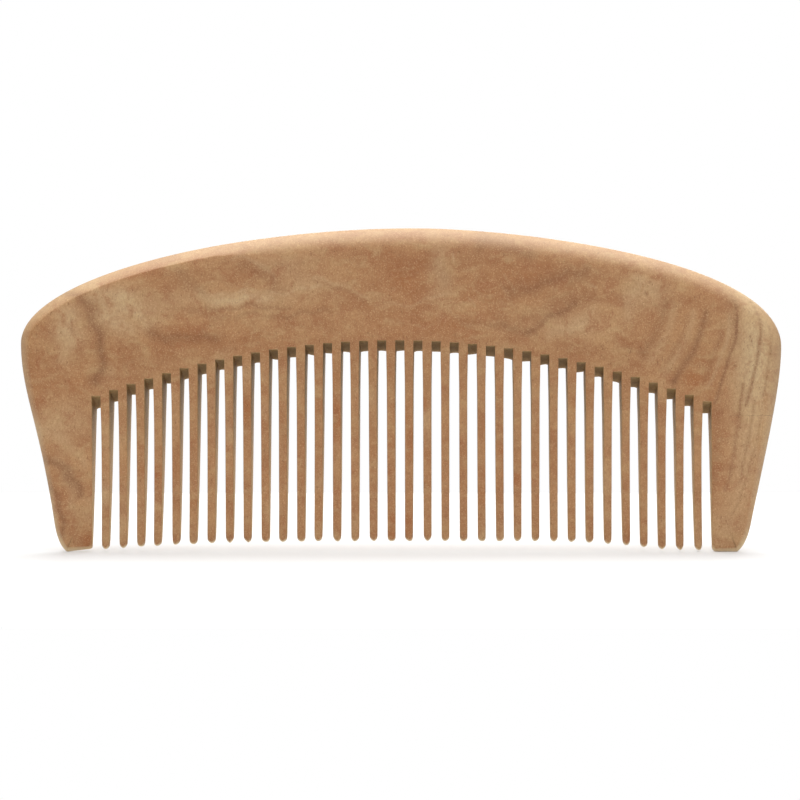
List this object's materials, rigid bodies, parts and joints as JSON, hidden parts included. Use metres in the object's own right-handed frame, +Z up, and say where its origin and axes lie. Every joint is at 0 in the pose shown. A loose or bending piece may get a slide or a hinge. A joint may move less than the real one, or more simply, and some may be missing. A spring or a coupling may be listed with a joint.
{
  "type": "hair comb",
  "caption": "Wooden hair comb with an arched, rounded back, a single row of sawn, tapering teeth and a wide guard at each end.",
  "frame": {"origin": "Middle of the comb's box, at the level of the guard feet and below the middle of the board's thickness.", "axes": "+X along the comb towards its right end as seen from the front, +Y through the board towards the back face, +Z up from the tooth tips to the crown."},
  "size_m": [0.175, 0.01, 0.0746],
  "materials": {
    "wood": "smooth sanded, waxed, low sheen"
  },
  "bodies": {
    "root": {"spine": "wood", "left_guard": "wood", "right_guard": "wood", "tooth_01": "wood", "tooth_02": "wood", "tooth_03": "wood", "tooth_04": "wood", "tooth_05": "wood", "tooth_06": "wood", "tooth_07": "wood", "tooth_08": "wood", "tooth_09": "wood", "tooth_10": "wood", "tooth_11": "wood", "tooth_12": "wood", "tooth_13": "wood", "tooth_14": "wood", "tooth_15": "wood", "tooth_16": "wood", "tooth_17": "wood", "tooth_18": "wood", "tooth_19": "wood", "tooth_20": "wood", "tooth_21": "wood", "tooth_22": "wood", "tooth_23": "wood", "tooth_24": "wood", "tooth_25": "wood", "tooth_26": "wood", "tooth_27": "wood", "tooth_28": "wood", "tooth_29": "wood", "tooth_30": "wood", "tooth_31": "wood", "tooth_32": "wood", "tooth_33": "wood", "tooth_34": "wood"}
  },
  "joints": []
}
